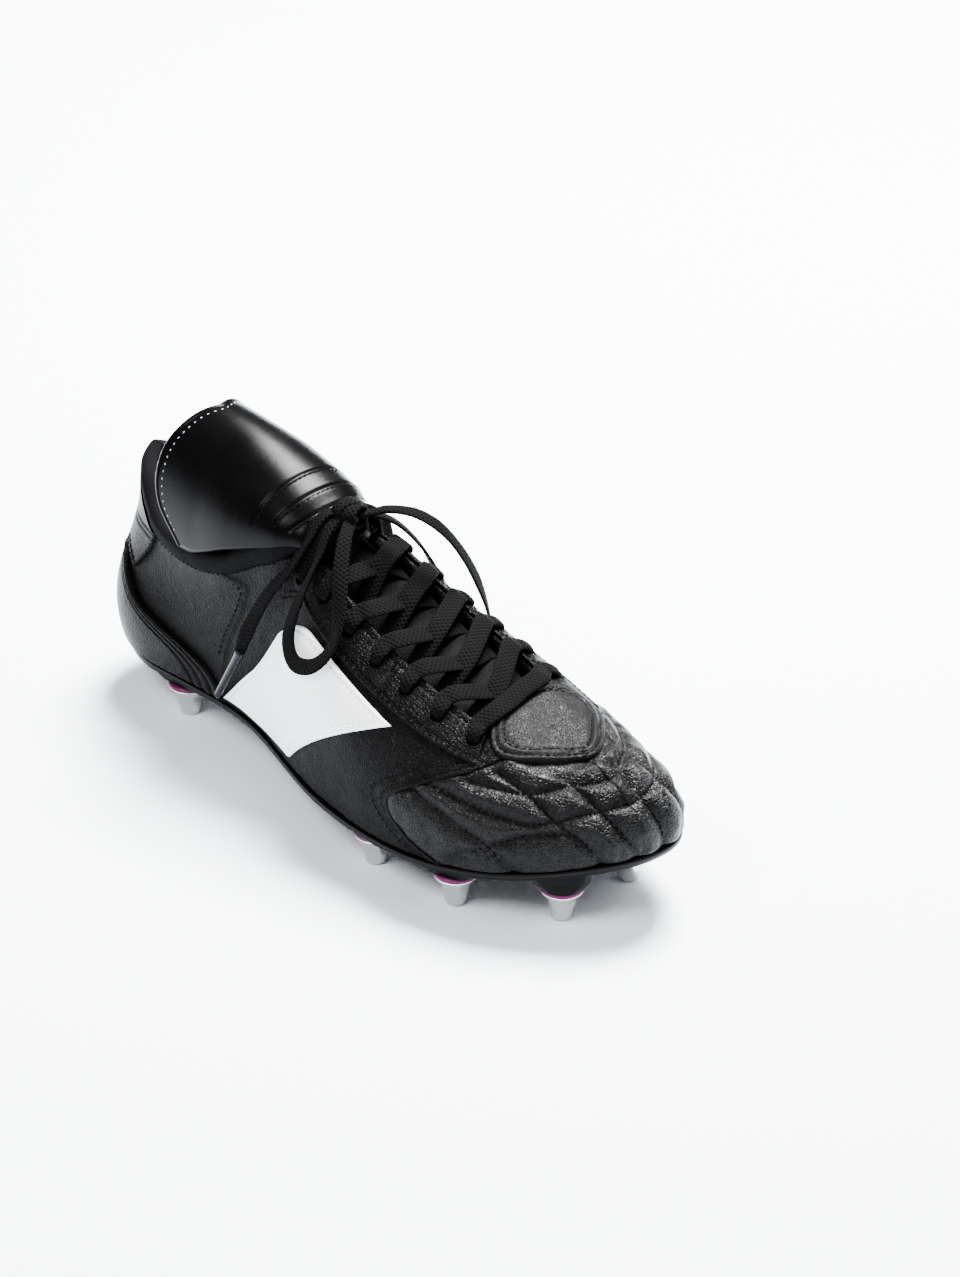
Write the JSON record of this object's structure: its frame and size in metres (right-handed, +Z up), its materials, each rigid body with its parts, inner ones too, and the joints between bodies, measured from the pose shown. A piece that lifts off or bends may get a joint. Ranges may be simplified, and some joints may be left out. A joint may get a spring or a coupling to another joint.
{
  "type": "soccer cleat",
  "caption": "Low-cut leather soccer cleat with a fold-over tongue, tied lace and screw-in metal studs.",
  "frame": {"origin": "on the ground under the stud tips, below the middle of the shoe's box without its free lace", "axes": "+X from heel to toe, +Y towards the inner (medial) side of the foot, +Z up"},
  "size_m": [0.2796, 0.0948, 0.127],
  "materials": {
    "black_leather": "fine grained black leather with a soft satin sheen",
    "tongue_leather": "smooth glossy black leather",
    "white_leather": "smooth white coated leather",
    "lining_mesh": "black knitted mesh",
    "insole_foam": "fabric covered foam",
    "fibre_board": "pressed fibre board",
    "lace_webbing": "flat woven polyester lace",
    "aglet_film": "clear film shrunk over the black lace",
    "plate_plastic": "moulded black nylon",
    "seat_plastic": "moulded magenta nylon",
    "stud_metal": "turned and lightly polished aluminium",
    "post_steel": "threaded steel post"
  },
  "bodies": {
    "upper": {"sole_plate": "plate_plastic", "insole_board": "fibre_board", "insole": "insole_foam", "stud_seat_heel_lateral": "seat_plastic", "stud_seat_heel_medial": "seat_plastic", "stud_seat_rear_lateral": "seat_plastic", "stud_seat_rear_medial": "seat_plastic", "stud_seat_middle_lateral": "seat_plastic", "stud_seat_middle_medial": "seat_plastic", "stud_seat_front_lateral": "seat_plastic", "stud_seat_front_medial": "seat_plastic", "toe_patch": "black_leather", "vamp": "black_leather", "toe_puff": "fibre_board", "vamp_lining": "lining_mesh", "quarter_lateral": "black_leather", "eyestay_lateral": "black_leather", "side_panel_lateral": "white_leather", "quarter_medial": "black_leather", "eyestay_medial": "black_leather", "side_panel_medial": "white_leather", "quarter_lining": "lining_mesh", "heel_counter": "fibre_board", "heel_overlay": "black_leather", "heel_tab": "black_leather", "collar_roll": "lining_mesh", "tongue": "tongue_leather", "lace": "lace_webbing", "lace_knot": "lace_webbing", "lace_loop_lateral": "lace_webbing", "lace_loop_medial": "lace_webbing", "lace_end_lateral": "lace_webbing", "lace_end_medial": "lace_webbing", "aglet_lateral": "aglet_film", "aglet_medial": "aglet_film"},
    "tongue_flap": {"tongue_flap": "tongue_leather"},
    "post_heel_lateral": {"stud_post_heel_lateral": "post_steel"},
    "stud_heel_lateral": {"stud_heel_lateral": "stud_metal"},
    "post_heel_medial": {"stud_post_heel_medial": "post_steel"},
    "stud_heel_medial": {"stud_heel_medial": "stud_metal"},
    "post_rear_lateral": {"stud_post_rear_lateral": "post_steel"},
    "stud_rear_lateral": {"stud_rear_lateral": "stud_metal"},
    "post_rear_medial": {"stud_post_rear_medial": "post_steel"},
    "stud_rear_medial": {"stud_rear_medial": "stud_metal"},
    "post_middle_lateral": {"stud_post_middle_lateral": "post_steel"},
    "stud_middle_lateral": {"stud_middle_lateral": "stud_metal"},
    "post_middle_medial": {"stud_post_middle_medial": "post_steel"},
    "stud_middle_medial": {"stud_middle_medial": "stud_metal"},
    "post_front_lateral": {"stud_post_front_lateral": "post_steel"},
    "stud_front_lateral": {"stud_front_lateral": "stud_metal"},
    "post_front_medial": {"stud_post_front_medial": "post_steel"},
    "stud_front_medial": {"stud_front_medial": "stud_metal"}
  },
  "joints": [
    {"name": "tongue_fold", "type": "hinge", "parent": "upper", "child": "tongue_flap", "pos_m": [-0.02515, 0.00147, 0.1103], "axis": [0, 1, 0], "range_deg": [0, 60]},
    {"name": "unscrew_heel_lateral", "type": "slide", "parent": "upper", "child": "post_heel_lateral", "axis": [0, 0, -1], "range_m": [0, 0.005]},
    {"name": "turn_heel_lateral", "type": "hinge", "parent": "post_heel_lateral", "child": "stud_heel_lateral", "pos_m": [-0.08838, -0.01903, 0.013], "axis": [0, 0, -1], "range_deg": [0, 1800]},
    {"name": "unscrew_heel_medial", "type": "slide", "parent": "upper", "child": "post_heel_medial", "axis": [0, 0, -1], "range_m": [0, 0.005]},
    {"name": "turn_heel_medial", "type": "hinge", "parent": "post_heel_medial", "child": "stud_heel_medial", "pos_m": [-0.08838, 0.02097, 0.013], "axis": [0, 0, -1], "range_deg": [0, 1800]},
    {"name": "unscrew_rear_lateral", "type": "slide", "parent": "upper", "child": "post_rear_lateral", "axis": [0, 0, -1], "range_m": [0, 0.005]},
    {"name": "turn_rear_lateral", "type": "hinge", "parent": "post_rear_lateral", "child": "stud_rear_lateral", "pos_m": [0.04043, -0.03703, 0.013], "axis": [0, 0, -1], "range_deg": [0, 1800]},
    {"name": "unscrew_rear_medial", "type": "slide", "parent": "upper", "child": "post_rear_medial", "axis": [0, 0, -1], "range_m": [0, 0.005]},
    {"name": "turn_rear_medial", "type": "hinge", "parent": "post_rear_medial", "child": "stud_rear_medial", "pos_m": [0.03212, 0.03347, 0.013], "axis": [0, 0, -1], "range_deg": [0, 1800]},
    {"name": "unscrew_middle_lateral", "type": "slide", "parent": "upper", "child": "post_middle_lateral", "axis": [0, 0, -1], "range_m": [0, 0.005]},
    {"name": "turn_middle_lateral", "type": "hinge", "parent": "post_middle_lateral", "child": "stud_middle_lateral", "pos_m": [0.08087, -0.03403, 0.013], "axis": [0, 0, -1], "range_deg": [0, 1800]},
    {"name": "unscrew_middle_medial", "type": "slide", "parent": "upper", "child": "post_middle_medial", "axis": [0, 0, -1], "range_m": [0, 0.005]},
    {"name": "turn_middle_medial", "type": "hinge", "parent": "post_middle_medial", "child": "stud_middle_medial", "pos_m": [0.07505, 0.03647, 0.013], "axis": [0, 0, -1], "range_deg": [0, 1800]},
    {"name": "unscrew_front_lateral", "type": "slide", "parent": "upper", "child": "post_front_lateral", "axis": [0, 0, -1], "range_m": [0, 0.005]},
    {"name": "turn_front_lateral", "type": "hinge", "parent": "post_front_lateral", "child": "stud_front_lateral", "pos_m": [0.11439, -0.01233, 0.013], "axis": [0, 0, -1], "range_deg": [0, 1800]},
    {"name": "unscrew_front_medial", "type": "slide", "parent": "upper", "child": "post_front_medial", "axis": [0, 0, -1], "range_m": [0, 0.005]},
    {"name": "turn_front_medial", "type": "hinge", "parent": "post_front_medial", "child": "stud_front_medial", "pos_m": [0.11245, 0.02347, 0.013], "axis": [0, 0, -1], "range_deg": [0, 1800]}
  ],
  "couplings": [
    {"joint": "turn_heel_lateral", "follows": "unscrew_heel_lateral", "rad_per_m": 6283.2},
    {"joint": "turn_heel_medial", "follows": "unscrew_heel_medial", "rad_per_m": 6283.2},
    {"joint": "turn_rear_lateral", "follows": "unscrew_rear_lateral", "rad_per_m": 6283.2},
    {"joint": "turn_rear_medial", "follows": "unscrew_rear_medial", "rad_per_m": 6283.2},
    {"joint": "turn_middle_lateral", "follows": "unscrew_middle_lateral", "rad_per_m": 6283.2},
    {"joint": "turn_middle_medial", "follows": "unscrew_middle_medial", "rad_per_m": 6283.2},
    {"joint": "turn_front_lateral", "follows": "unscrew_front_lateral", "rad_per_m": 6283.2},
    {"joint": "turn_front_medial", "follows": "unscrew_front_medial", "rad_per_m": 6283.2}
  ]
}
